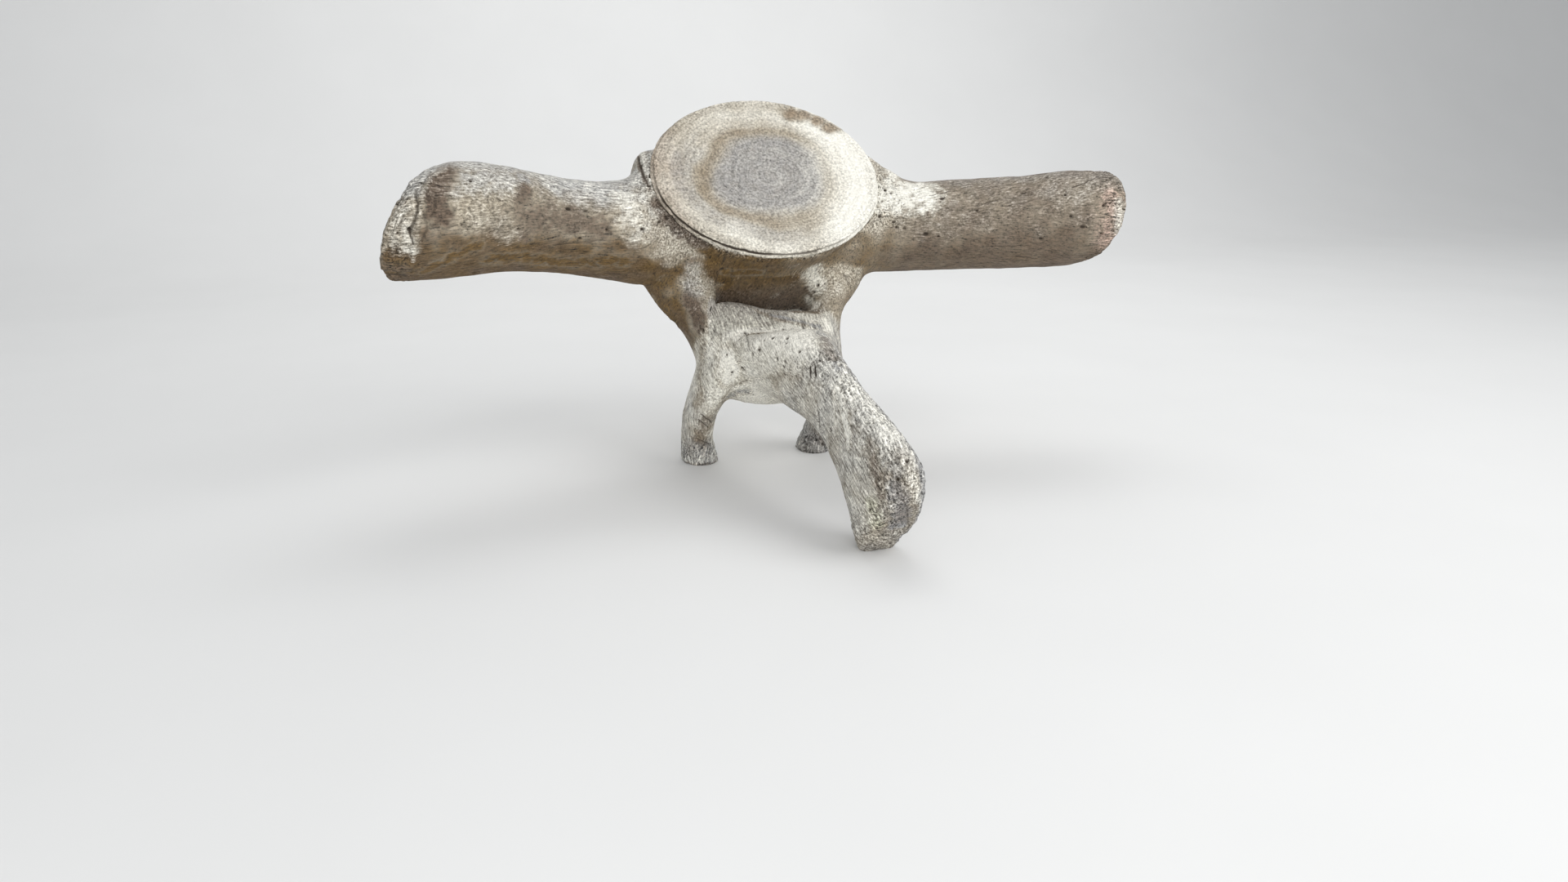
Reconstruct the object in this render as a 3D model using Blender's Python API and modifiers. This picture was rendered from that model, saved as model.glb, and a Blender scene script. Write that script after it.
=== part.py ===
"""A baleen whale's thoracic vertebra, weathered, lying upside down as a museum might show it.

The bone is modelled upright in its own frame, in metres: X across the body, Y towards the tail and
Z towards the back of the animal, with the origin at the middle of the rear disc. The empty
resting_pose then turns it over, onto the tip of its neural spine and its two metapophyses. Left and
right are the animal's own, so the left side is at +X, on the right of someone who faces the rear
disc of the upturned bone.

Every limb is a loft of a few rounded sections. The limbs are joined into one bone, a voxel remesh
and a smoothing blend its joints, the floor cuts its three feet level, and thin saw cuts part it into
the pieces that have names. The two plates at the ends of the centrum are turned.
"""

import math

import bmesh
import bpy
from mathutils import Matrix, Vector

# Driving dimensions, in metres
DISC_WIDTH = 0.286
DISC_HEIGHT = 0.225
CENTRUM_LENGTH = 0.168
WAIST = 0.89  # the centrum's narrowest width, as a share of the disc's
WAIST_POWER = 1.3  # how much the waist keeps to the middle of the drum
DRUM_END = 0.985  # the drum's width where it meets a plate, as a share of the disc's
SEAT = 1.01  # the width of the flat seat cut for a plate, as a share of the disc's
SEAT_DEPTH = 0.06  # how far past a plate's inner face that cut reaches
PLATE = 0.010  # thickness of an epiphysis, the plate on each end of the centrum
PLATE_DISH = 0.004  # how deep the plate's middle is hollowed
PLATE_EDGE = 0.0025  # how far its edge is rounded
RIGHT_END_DOME = 0.010  # how far the rough end of each process bulges
LEFT_END_DOME = 0.012
GAP = 0.0003  # width of every cut between two pieces

# The resting pose: the rear disc leans back and faces up, and its middle is this high
DISC_LEAN = math.radians(38.5)
DISC_ABOVE_FLOOR = 0.3655

# Fineness of the surface
LIMB_POINTS = 28
DISC_POINTS = 48
STEPS_BETWEEN_SECTIONS = 4
DRUM_STEPS = 12
DOME_STEPS = [math.radians(angle) for angle in (25, 50, 70)]
MERGE_DISTANCE = 0.00005
VOXEL = 0.006
SMOOTHING_ROUNDS = 6
KEPT_TRIANGLES = 6000
SQUARENESS = 2.3  # exponent of the rounded sections: 2 is an ellipse, and more is boxier

# The sections of each limb: one edge, the opposite edge, and the thickness across
RIGHT_PROCESS = [  # belly edge, back edge, thickness along the body
    ((-0.060, -0.080, -0.060), (-0.060, -0.080, 0.090), 0.125),
    ((-0.134, -0.072, -0.074), (-0.134, -0.072, 0.090), 0.126),
    ((-0.156, -0.070, -0.034), (-0.156, -0.070, 0.089), 0.126),
    ((-0.190, -0.064, -0.021), (-0.190, -0.064, 0.084), 0.123),
    ((-0.245, -0.050, -0.016), (-0.250, -0.050, 0.078), 0.120),
    ((-0.310, -0.030, -0.018), (-0.315, -0.030, 0.085), 0.128),
    ((-0.355, -0.018, -0.014), (-0.380, -0.018, 0.096), 0.138),
    ((-0.380, -0.012, 0.000), (-0.444, -0.012, 0.102), 0.130),
]
LEFT_PROCESS = [
    ((0.060, -0.080, -0.060), (0.060, -0.080, 0.088), 0.125),
    ((0.132, -0.074, -0.076), (0.132, -0.074, 0.086), 0.130),
    ((0.186, -0.066, -0.016), (0.182, -0.066, 0.090), 0.124),
    ((0.250, -0.050, -0.004), (0.250, -0.050, 0.101), 0.120),
    ((0.340, -0.030, 0.006), (0.340, -0.030, 0.114), 0.124),
    ((0.400, -0.014, 0.012), (0.400, -0.014, 0.124), 0.130),
    ((0.446, -0.002, 0.024), (0.432, -0.002, 0.122), 0.122),
]
PEDICLE = [  # front edge, rear edge, thickness across the body
    ((0.104, -0.150, 0.035), (0.104, -0.050, 0.040), 0.110),
    ((0.098, -0.162, 0.085), (0.098, -0.075, 0.095), 0.074),
    ((0.084, -0.172, 0.112), (0.084, -0.090, 0.126), 0.046),
    ((0.074, -0.178, 0.138), (0.075, -0.096, 0.154), 0.040),
    ((0.068, -0.182, 0.162), (0.068, -0.096, 0.184), 0.044),
]
LAMINA = [  # front edge, rear edge, thickness from the roof of the canal outwards
    ((-0.072, -0.182, 0.170), (-0.072, -0.086, 0.178), 0.070),
    ((-0.040, -0.186, 0.182), (-0.040, -0.084, 0.181), 0.092),
    ((0.000, -0.188, 0.185), (0.000, -0.082, 0.182), 0.100),
    ((0.040, -0.186, 0.182), (0.040, -0.084, 0.180), 0.094),
    ((0.072, -0.182, 0.170), (0.072, -0.086, 0.177), 0.072),
]
METAPOPHYSIS = [  # front edge, rear edge, thickness across the body
    ((0.062, -0.184, 0.150), (0.062, -0.090, 0.196), 0.050),
    ((0.078, -0.206, 0.176), (0.078, -0.128, 0.226), 0.042),
    ((0.088, -0.232, 0.198), (0.088, -0.174, 0.242), 0.037),
    ((0.084, -0.268, 0.218), (0.084, -0.222, 0.254), 0.040),
    ((0.077, -0.304, 0.238), (0.077, -0.256, 0.276), 0.050),
]
NEURAL_SPINE = [  # front edge, rear edge, thickness across the body
    ((0.000, -0.160, 0.180), (0.000, -0.056, 0.180), 0.150),
    ((0.000, -0.140, 0.212), (0.002, -0.012, 0.206), 0.108),
    ((0.001, -0.088, 0.268), (0.005, 0.034, 0.256), 0.058),
    ((0.003, -0.030, 0.322), (0.009, 0.060, 0.300), 0.043),
    ((0.006, -0.008, 0.372), (0.013, 0.090, 0.349), 0.044),
    ((0.010, -0.002, 0.415), (0.017, 0.119, 0.397), 0.052),
    ((0.013, -0.008, 0.452), (0.019, 0.128, 0.430), 0.058),
    ((0.015, -0.018, 0.480), (0.019, 0.104, 0.462), 0.050),
]

# Colours and roughness, one for each kind of surface
WEATHERED = ((0.66, 0.60, 0.49), 0.75)
BLEACHED = ((0.76, 0.73, 0.67), 0.70)
STAINED = ((0.55, 0.47, 0.35), 0.80)


def clear_scene():
    for obj in list(bpy.data.objects):
        bpy.data.objects.remove(obj, do_unlink=True)


def new_collection(name, hidden=False):
    collection = bpy.data.collections.new(name)
    bpy.context.scene.collection.children.link(collection)
    collection.hide_render = hidden
    return collection


def bone_material(name, finish):
    colour, roughness = finish
    material = bpy.data.materials.new(name + "_bone")
    material.use_nodes = True
    shader = material.node_tree.nodes["Principled BSDF"]
    shader.inputs["Base Color"].default_value = (*colour, 1.0)
    shader.inputs["Roughness"].default_value = roughness
    shader.inputs["Metallic"].default_value = 0.0
    material.diffuse_color = (*colour, 1.0)
    return material


def new_object(name, bm, collection):
    mesh = bpy.data.meshes.new(name)
    bm.to_mesh(mesh)
    bm.free()
    obj = bpy.data.objects.new(name, mesh)
    collection.objects.link(obj)
    return obj


def guide(obj, parent=None):
    """Mark a shape that only helps to make the bone."""
    obj.hide_render = True
    obj.display_type = "WIRE"
    obj.parent = parent
    return obj


def evaluated_mesh(obj):
    depsgraph = bpy.context.evaluated_depsgraph_get()
    return bpy.data.meshes.new_from_object(obj.evaluated_get(depsgraph))


def smooth_between(values, position):
    """A smooth curve (Catmull-Rom) through the values, read at a position counted in values."""
    first = min(int(position), len(values) - 2)
    t = position - first
    before = values[max(first - 1, 0)]
    start, end = values[first], values[first + 1]
    after = values[min(first + 2, len(values) - 1)]
    return (
        start * 2
        + (end - before) * t
        + (before * 2 - start * 5 + end * 4 - after) * t * t
        + (start * 3 - before - end * 3 + after) * t * t * t
    ) * 0.5


def rounded(angle):
    """A point of the unit section, rounder or boxier by SQUARENESS."""
    c, s = math.cos(angle), math.sin(angle)
    power = 2 / SQUARENESS
    return math.copysign(abs(c) ** power, c), math.copysign(abs(s) ** power, s)


def skin_rings(bm, rings):
    """Walls from ring to ring, and a face on each end."""
    for ring, following in zip(rings, rings[1:]):
        for index in range(len(ring)):
            beside = (index + 1) % len(ring)
            bm.faces.new((ring[index], ring[beside], following[beside], following[index]))
    bm.faces.new(rings[0])
    bm.faces.new(rings[-1])
    bmesh.ops.recalc_face_normals(bm, faces=bm.faces)


def domed_end(sections, across, height):
    """Shrinking sections that round the end off by a height."""
    a, b, thickness = sections[-1]
    centre = (a + b) / 2
    outward = (a - b).cross(across).normalized()
    if outward.dot(centre - (sections[-2][0] + sections[-2][1]) / 2) < 0:
        outward.negate()
    dome = []
    for angle in DOME_STEPS:
        share = math.cos(angle)
        middle = centre + outward * height * math.sin(angle)
        dome.append((middle + (a - centre) * share, middle + (b - centre) * share, thickness * share))
    return dome


def limb(name, sections, across, collection, dome=0.0):
    """A smooth closed loft through the sections, rounded off at its far end by the dome's height."""
    across = Vector(across)
    columns = [
        [Vector(section[0]) for section in sections],
        [Vector(section[1]) for section in sections],
        [section[2] for section in sections],
    ]
    steps = (len(sections) - 1) * STEPS_BETWEEN_SECTIONS
    fine = []
    for step in range(steps + 1):
        fine.append(tuple(smooth_between(column, step / STEPS_BETWEEN_SECTIONS) for column in columns))
    if dome:
        fine += domed_end(fine, across, dome)
    bm = bmesh.new()
    rings = []
    for a, b, thickness in fine:
        ring = []
        for index in range(LIMB_POINTS):
            along, sideways = rounded(index / LIMB_POINTS * math.tau)
            place = (a + b) / 2 + (a - b) / 2 * along + across * (thickness / 2 * sideways)
            ring.append(bm.verts.new(place))
        rings.append(ring)
    skin_rings(bm, rings)
    return guide(new_object(name, bm, collection))


def mirrored(sections):
    """The same limb on the other side of the body."""
    return [((-a[0], a[1], a[2]), (-b[0], b[1], b[2]), thickness) for a, b, thickness in sections]


def centrum_drum(collection):
    """The waisted drum between the two plates, each a gap away."""
    rear, front = -PLATE - GAP, -CENTRUM_LENGTH + PLATE + GAP
    bm = bmesh.new()
    rings = []
    for step in range(DRUM_STEPS + 1):
        share = step / DRUM_STEPS
        size = DRUM_END - (DRUM_END - WAIST) * math.sin(math.pi * share) ** WAIST_POWER
        ring = []
        for index in range(DISC_POINTS):
            angle = index / DISC_POINTS * math.tau
            x = math.cos(angle) * DISC_WIDTH / 2 * size
            z = math.sin(angle) * DISC_HEIGHT / 2 * size
            ring.append(bm.verts.new((x, rear + (front - rear) * share, z)))
        rings.append(ring)
    skin_rings(bm, rings)
    return guide(new_object("centrum_drum", bm, collection))


def epiphysis(name, face_y, outward, collection):
    """A plate turned about Y and squeezed to the disc's height, with its dished face outwards."""
    profile = [  # share of the disc's radius, depth behind the face
        (0.00, PLATE_DISH),
        (0.30, PLATE_DISH * 0.9),
        (0.55, PLATE_DISH * 0.45),
        (0.78, 0.0),
        (0.94, PLATE_EDGE * 0.2),
        (0.99, PLATE_EDGE),
        (1.00, PLATE * 0.6),
        (0.99, PLATE),
        (0.00, PLATE),
    ]
    bm = bmesh.new()
    verts = [bm.verts.new((radius, face_y - outward * depth, 0)) for radius, depth in profile]
    edges = [bm.edges.new(pair) for pair in zip(verts, verts[1:])]
    turn = {"cent": (0, 0, 0), "axis": (0, 1, 0), "angle": math.tau, "steps": DISC_POINTS}
    bmesh.ops.spin(bm, geom=verts + edges, **turn)
    bmesh.ops.remove_doubles(bm, verts=bm.verts, dist=MERGE_DISTANCE)
    bmesh.ops.scale(bm, vec=(DISC_WIDTH / 2, 1, DISC_HEIGHT / 2), verts=bm.verts)
    bmesh.ops.recalc_face_normals(bm, faces=bm.faces)
    return new_object(name, bm, collection)


def joined_bone(limbs, collection, pose):
    """All limbs in one skin, with their joints blended."""
    whole = limbs[0].copy()
    whole.name = "whole_bone"
    collection.objects.link(whole)
    for part in [whole] + limbs:
        part.parent = pose
    for part in limbs[1:]:
        union = whole.modifiers.new("join_" + part.name, "BOOLEAN")
        union.operation = "UNION"
        union.object = part
    remesh = whole.modifiers.new("one_skin", "REMESH")
    remesh.mode = "VOXEL"
    remesh.voxel_size = VOXEL
    smooth = whole.modifiers.new("blended_joints", "SMOOTH")
    smooth.factor = 0.5
    smooth.iterations = SMOOTHING_ROUNDS
    triangles = sum(len(face.vertices) - 2 for face in evaluated_mesh(whole).polygons)
    decimate = whole.modifiers.new("fewer_faces", "DECIMATE")
    decimate.ratio = KEPT_TRIANGLES / triangles
    return whole


def box(name, centre, size, tilt, collection, pose):
    """A box for a cut, turned by tilt about the body's axis (Y) and about the side axis (X)."""
    bm = bmesh.new()
    bmesh.ops.create_cube(bm, size=1.0)
    bmesh.ops.scale(bm, vec=size, verts=bm.verts)
    turn = Matrix.Rotation(tilt[0], 4, "Y") @ Matrix.Rotation(tilt[1], 4, "X")
    bmesh.ops.transform(bm, matrix=Matrix.Translation(centre) @ turn, verts=bm.verts)
    return guide(new_object(name, bm, collection), pose)


def saw_cuts(collection, pose):
    """One thin blade for each place where the bone is parted: its centre, size and tilt."""
    spine_tilt = (0, math.radians(-6))
    blades = [("neural_spine", (0, 0.000, 0.286), (0.20, 0.26, GAP), spine_tilt)]
    for side, sign in (("left", 1), ("right", -1)):
        root_tilt = (math.radians(40) * sign, 0)
        leg_tilt = (0, math.radians(34))
        blades += [
            ("process_" + side, (0.178 * sign, -0.05, 0.03), (GAP, 0.32, 0.34), (0, 0)),
            ("root_" + side, (0.110 * sign, -0.09, 0.086), (0.190, 0.24, GAP), root_tilt),
            ("pedicle_" + side, (0.085 * sign, -0.13, 0.140), (0.090, 0.18, GAP), (0, 0)),
            ("metapophysis_" + side, (0.092 * sign, -0.192, 0.218), (0.092, 0.17, GAP), leg_tilt),
        ]
    return [box("cut_" + name, *places, collection, pose) for name, *places in blades]


def plate_seats(collection, pose):
    """What the drum gives up so that each plate lies flat on it: the disc's outline, past its face."""
    seats = []
    for name, face_y, outward in (("caudal", 0, 1), ("cranial", -CENTRUM_LENGTH, -1)):
        middle = face_y - outward * (PLATE + GAP - SEAT_DEPTH / 2)
        size = {"segments": DISC_POINTS, "radius1": 1, "radius2": 1, "depth": SEAT_DEPTH}
        bm = bmesh.new()
        bmesh.ops.create_cone(bm, cap_ends=True, **size)
        bmesh.ops.scale(bm, vec=(DISC_WIDTH / 2 * SEAT, DISC_HEIGHT / 2 * SEAT, 1), verts=bm.verts)
        turn = Matrix.Rotation(math.pi / 2, 4, "X")
        bmesh.ops.transform(bm, matrix=Matrix.Translation((0, middle, 0)) @ turn, verts=bm.verts)
        seats.append(guide(new_object("seat_" + name, bm, collection), pose))
    return seats


def floor_block(collection):
    """All that lies below the floor, in the resting pose."""
    bm = bmesh.new()
    bmesh.ops.create_cube(bm, size=2.0, matrix=Matrix.Translation((0, 0, -1.0)))
    return guide(new_object("below_floor", bm, collection))


def loose_parts(mesh):
    """The mesh's separate bodies, each as a bmesh."""
    bm = bmesh.new()
    bm.from_mesh(mesh)
    bm.verts.ensure_lookup_table()
    body_of = {}
    count = 0
    for start in bm.verts:
        if start in body_of:
            continue
        body_of[start] = count
        waiting = [start]
        while waiting:
            for edge in waiting.pop().link_edges:
                for vert in edge.verts:
                    if vert not in body_of:
                        body_of[vert] = count
                        waiting.append(vert)
        count += 1
    labels = [body_of[vert] for vert in bm.verts]
    bm.free()
    bodies = []
    for body in range(count):
        piece = bmesh.new()
        piece.from_mesh(mesh)
        piece.verts.ensure_lookup_table()
        others = [vert for vert in piece.verts if labels[vert.index] != body]
        bmesh.ops.delete(piece, geom=others, context="VERTS")
        bodies.append(piece)
    return bodies


def named_pieces():
    """Each piece's name, a point inside it, and its finish."""
    pieces = [
        ("centrum", (0, -0.08, 0), WEATHERED),
        ("lamina", (0, -0.13, 0.19), BLEACHED),
        ("neural_spine", (0.01, 0.06, 0.40), BLEACHED),
    ]
    for side, sign in (("left", 1), ("right", -1)):
        pieces += [
            ("transverse_process_" + side, (0.32 * sign, -0.03, 0.04), WEATHERED),
            ("pedicle_" + side, (0.12 * sign, -0.11, 0.10), STAINED),
            ("metapophysis_" + side, (0.09 * sign, -0.22, 0.25), WEATHERED),
        ]
    return pieces


def part_bone(whole, guides, model, pose):
    """Cut the bone level at its feet and apart at its joints, and name the pieces."""
    for cutter in [floor_block(guides)] + plate_seats(guides, pose) + saw_cuts(guides, pose):
        cut = whole.modifiers.new(cutter.name, "BOOLEAN")
        cut.operation = "DIFFERENCE"
        cut.solver = "MANIFOLD"  # the exact solver loses bodies on blades this thin
        cut.object = cutter
    pieces = named_pieces()
    for body in loose_parts(evaluated_mesh(whole)):
        middle = sum((vert.co for vert in body.verts), Vector()) / len(body.verts)
        name, _, finish = min(pieces, key=lambda piece: (Vector(piece[1]) - middle).length)
        obj = new_object(name, body, model)
        obj.parent = pose
        obj.data.materials.clear()
        obj.data.materials.append(bone_material(name, finish))


def centre_on_floor(model, pose):
    """Move the pose so that the middle of the whole bone's box is over the origin."""
    bpy.context.view_layer.update()
    bones = [obj for obj in model.objects if obj.type == "MESH"]
    corners = [obj.matrix_world @ vert.co for obj in bones for vert in obj.data.vertices]
    for axis in (0, 1):
        places = [corner[axis] for corner in corners]
        pose.location[axis] -= (min(places) + max(places)) / 2
    bpy.context.view_layer.update()


def main():
    clear_scene()
    model = new_collection("whale_vertebra")
    guides = new_collection("guides", hidden=True)
    pose = bpy.data.objects.new("resting_pose", None)
    model.objects.link(pose)
    pose.location = (0, 0, DISC_ABOVE_FLOOR)
    pose.rotation_euler = (math.pi - DISC_LEAN, 0, 0)

    limbs = [centrum_drum(guides)]
    limbs.append(limb("right_process", RIGHT_PROCESS, (0, 1, 0), guides, RIGHT_END_DOME))
    limbs.append(limb("left_process", LEFT_PROCESS, (0, 1, 0), guides, LEFT_END_DOME))
    for side, shape in (("left", lambda sections: sections), ("right", mirrored)):
        limbs.append(limb(side + "_pedicle", shape(PEDICLE), (1, 0, 0), guides))
        limbs.append(limb(side + "_metapophysis", shape(METAPOPHYSIS), (1, 0, 0), guides))
    limbs.append(limb("roof", LAMINA, (0, 0, 1), guides))
    limbs.append(limb("spine_blade", NEURAL_SPINE, (1, 0, 0), guides))
    whole = joined_bone(limbs, guides, pose)
    part_bone(whole, guides, model, pose)

    for name, face_y, outward in (("caudal", 0, 1), ("cranial", -CENTRUM_LENGTH, -1)):
        plate = epiphysis("epiphysis_" + name, face_y, outward, model)
        plate.parent = pose
        plate.data.materials.append(bone_material(plate.name, BLEACHED))
    centre_on_floor(model, pose)


main()
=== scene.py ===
# %% [markdown]
# # A weathered whale vertebra
#
# This lesson dresses the plain solids of a whale's vertebra as real bone that has lain outdoors for
# years, with grain along its limbs, pores, holes, stains and worn ends. The bone lies upside down. The
# tip of its neural spine and its two metapophyses are its feet, and the smooth disc at the tail end of
# its body leans back and faces up. The plain solids come first: every piece is modelled over them.

# %% Load the plain solids
import contextlib
import itertools
import math

import bpy
import numpy as np
from mathutils import Euler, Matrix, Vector, kdtree


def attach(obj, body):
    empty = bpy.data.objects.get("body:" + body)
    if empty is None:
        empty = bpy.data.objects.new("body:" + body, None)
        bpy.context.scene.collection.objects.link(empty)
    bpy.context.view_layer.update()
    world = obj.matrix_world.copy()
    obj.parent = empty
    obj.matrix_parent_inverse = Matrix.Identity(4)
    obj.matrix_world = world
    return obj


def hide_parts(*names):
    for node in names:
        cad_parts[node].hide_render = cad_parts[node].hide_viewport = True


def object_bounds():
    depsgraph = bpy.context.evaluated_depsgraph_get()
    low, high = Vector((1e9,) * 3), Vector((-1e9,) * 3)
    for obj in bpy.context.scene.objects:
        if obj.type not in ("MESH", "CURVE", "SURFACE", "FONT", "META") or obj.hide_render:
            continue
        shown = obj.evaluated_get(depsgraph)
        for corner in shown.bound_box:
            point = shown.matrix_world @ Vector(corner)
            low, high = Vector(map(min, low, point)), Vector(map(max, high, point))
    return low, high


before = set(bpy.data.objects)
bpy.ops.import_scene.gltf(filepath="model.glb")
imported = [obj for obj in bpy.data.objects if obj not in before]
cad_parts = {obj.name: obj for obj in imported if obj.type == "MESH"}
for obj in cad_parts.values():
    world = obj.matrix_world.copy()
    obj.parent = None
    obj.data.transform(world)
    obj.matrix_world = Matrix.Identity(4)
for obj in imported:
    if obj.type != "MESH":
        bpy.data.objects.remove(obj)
cad_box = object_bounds()
print("the solids:", ", ".join(sorted(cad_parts)))

# %% [markdown]
# A bone is easier to describe in its own directions than in the room's: to the animal's left side,
# towards its tail, and towards its back. The plate on the tail end of the body holds all three. It is
# flat, so the direction with the least spread points to the tail, and it is wider than high, so the
# other two are told apart as well. Its outermost face is where the distance towards the tail is zero.

# %% Find the bone's own directions
MERGE_DISTANCE = 0.0001


def read(items, name, width=3, kind=float):
    """What each of a mesh's items says under a name: a row of numbers for each, or one number."""
    values = np.empty(len(items) * width, dtype=kind)
    items.foreach_get(name, values)
    return values.reshape(-1, width) if width > 1 else values


plate_points = read(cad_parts["epiphysis_caudal"].data.vertices, "co")
plate_points = np.unique(plate_points.round(5), axis=0)
middle = plate_points.mean(axis=0)
_, _, (side, back, tail) = np.linalg.svd(plate_points - middle)
side *= np.sign(side[0])
back *= -np.sign(back[2])
tail *= np.sign(tail[2])
face_height = ((plate_points - middle) @ tail).max()
disc_centre = middle + tail * face_height
bone_axes = np.array([side, tail, back])


def in_bone(points):
    """Distances to the left side, towards the tail and towards the back, from the disc's centre."""
    return (points - disc_centre) @ bone_axes.T


def in_room(places):
    """The same, the other way round."""
    return places @ bone_axes + disc_centre


print("disc centre", disc_centre.round(4), "and it leans", round(math.degrees(math.asin(tail[2])), 1))

# %% [markdown]
# The camera stands where the photographer's did, in front of the disc and a little to the animal's
# right. It is made early, because some details are placed by looking through it: a pixel of the
# picture and the camera make a ray, and the ray ends where the detail lies on the bone.

# %% Set up the camera
PICTURE = (1920, 1080)
LENS = 24.44
SENSOR = 36.0
CAMERA_FROM_DISC = (-0.4194, -1.2379, 0.0595)
CAMERA_TURN = Euler((math.radians(73.3), 0, math.radians(-19.5)))

bpy.ops.object.camera_add(location=Vector(disc_centre) + Vector(CAMERA_FROM_DISC), rotation=CAMERA_TURN)
camera = bpy.context.object
camera.data.lens = LENS
camera.data.sensor_width = SENSOR
bpy.context.scene.camera = camera


def sight_line(pixel):
    """The direction in which the camera sees a pixel of the picture."""
    scale = SENSOR / LENS / PICTURE[0]
    across = (pixel[0] - PICTURE[0] / 2) * scale
    up = (PICTURE[1] / 2 - pixel[1]) * scale
    return (CAMERA_TURN.to_matrix() @ Vector((across, up, -1))).normalized()


print("camera at", [round(x, 3) for x in camera.location])

# %% [markdown]
# ## One skin
#
# The solids are parted by thin cuts, which the real bone doesn't have. So copies of them are joined,
# swollen by a hair until they touch, and remeshed as a whole. A voxel remesh makes even quads all over,
# which is what sculpting needs, and smoothing takes the facets away. The ledge where the arch meets the
# canal is square in the solids, and a second smoothing rounds it.

# %% Join the solids into one skin
BONE_NODES = sorted(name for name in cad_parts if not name.startswith("epiphysis"))
SWELL = 0.0004
VOXEL = 0.0030
SMOOTHING_ROUNDS = 9
LEDGE = ((0, -0.070, 0.176), (0.085, 0.040, 0.030))  # its middle and half its size
LEDGE_ROUNDS = 160


def only(obj):
    """Select one object and make it active."""
    bpy.ops.object.select_all(action="DESELECT")
    obj.select_set(True)
    bpy.context.view_layer.objects.active = obj


@contextlib.contextmanager
def editing(select=None):
    """Edit mode for the active object, with all of it or nothing selected, or what already was."""
    bpy.ops.object.mode_set(mode="EDIT")
    if select:
        bpy.ops.mesh.select_all(action=select)
    yield
    bpy.ops.object.mode_set(mode="OBJECT")


def apply_modifier(obj, kind, **settings):
    """Add a modifier to an object and apply it at once."""
    only(obj)
    bpy.ops.object.modifier_add(type=kind)
    modifier = obj.modifiers[-1]
    for name, value in settings.items():
        setattr(modifier, name, value)
    bpy.ops.object.modifier_apply(modifier=modifier.name)


def merged_copy(names, title):
    """Copies of solids joined into one object, with their loose triangles merged."""
    copies = []
    for name in names:
        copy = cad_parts[name].copy()
        copy.data = copy.data.copy()
        copy.parent = None
        for key in list(copy.keys()):
            del copy[key]
        bpy.context.collection.objects.link(copy)
        copies.append(copy)
    only(copies[0])
    for copy in copies:
        copy.select_set(True)
    bpy.ops.object.join()
    whole = bpy.context.object
    whole.name = whole.data.name = title
    whole.data.materials.clear()
    with editing("SELECT"):
        bpy.ops.mesh.remove_doubles(threshold=MERGE_DISTANCE)
    return whole


skin = merged_copy(BONE_NODES, "skin")
apply_modifier(skin, "DISPLACE", strength=SWELL, mid_level=0.0)
apply_modifier(skin, "REMESH", mode="VOXEL", voxel_size=VOXEL)
apply_modifier(skin, "SMOOTH", factor=0.5, iterations=SMOOTHING_ROUNDS)
from_ledge = np.linalg.norm((in_bone(read(skin.data.vertices, "co")) - LEDGE[0]) / LEDGE[1], axis=1)
ledge = skin.vertex_groups.new(name="ledge")
for index in np.flatnonzero(from_ledge < 1):
    ledge.add([int(index)], float(min(1, 2 - 2 * from_ledge[index])), "REPLACE")
apply_modifier(skin, "SMOOTH", factor=0.5, iterations=LEDGE_ROUNDS, vertex_group="ledge")
print(len(skin.data.vertices), "points in the skin")

# %% [markdown]
# So fine a skin is too big for one piece, and each named node wants its own. So a bisect scores the
# skin along the saw cuts, on the faces near them only, and every face is given its node's number. The
# cuts are given on the left side, and all but the spine's have a mirrored copy on the right. The body's
# flat ends lie hidden under the end plates, so their small faces go, and one big face closes each end
# later. One level of subdivision leaves points about 1.5 mm apart, and the faces keep their numbers.

# %% Score the skin at the saw cuts
DISC_HALF = (0.143, 0.1125)  # half the width and half the height of the end plates
BODY_LENGTH = 0.168
PLATE = 0.010
HIDDEN = 0.92
SNAP = 0.0002
LEGS = (0.040, -0.10)  # they lie further out than this, and not so far towards the tail
SPINE = (0.10, -0.13)  # it lies less far out, and further towards the tail
CUTS = {  # a place on the cut, the direction across it, and the half width that it reaches
    "process": ((0.178, -0.05, 0.03), (1, 0, 0), (0.002, 0.17, 0.17)),
    "root": ((0.110, -0.09, 0.086), (0.423, 0, 0.906), (0.075, 0.12, 0.050)),
    "pedicle": ((0.085, -0.13, 0.140), (0, 0, 1), (0.050, 0.09, 0.002)),
    "metapophysis": ((0.092, -0.192, 0.218), (0, -0.559, 0.829), (0.046, 0.075, 0.050)),
    "spine": ((0.0, 0.0, 0.286), (0, 0.105, 0.995), (0.100, 0.130, 0.016)),
}


def beyond(places, cut):
    """How far places lie past a cut, in metres, on the side that its direction points to."""
    middle, across, _ = CUTS[cut]
    sideways = np.abs(places[:, 0]) if middle[0] else places[:, 0]
    return (np.column_stack([sideways, places[:, 1:]]) - middle) @ np.array(across)


def select_faces(obj, chosen):
    """Select some faces of an object, the active one, and nothing else."""
    with editing("DESELECT"):
        bpy.ops.mesh.select_mode(type="FACE")
    obj.data.polygons.foreach_set("select", chosen)


def score(obj, cut, mirror):
    """Bisect an object's faces near a cut, on the left side or, with a mirror of -1, on the right."""
    middle, across, reach = np.array(CUTS[cut])
    flip = np.array([mirror, 1, 1])
    near = np.abs(in_bone(read(obj.data.polygons, "center")) - middle * flip) < reach + VOXEL
    select_faces(obj, near.all(axis=1))
    place, direction = in_room(middle * flip), (across * flip) @ bone_axes
    with editing():
        bpy.ops.mesh.bisect(plane_co=place, plane_no=direction, threshold=SNAP)


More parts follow.
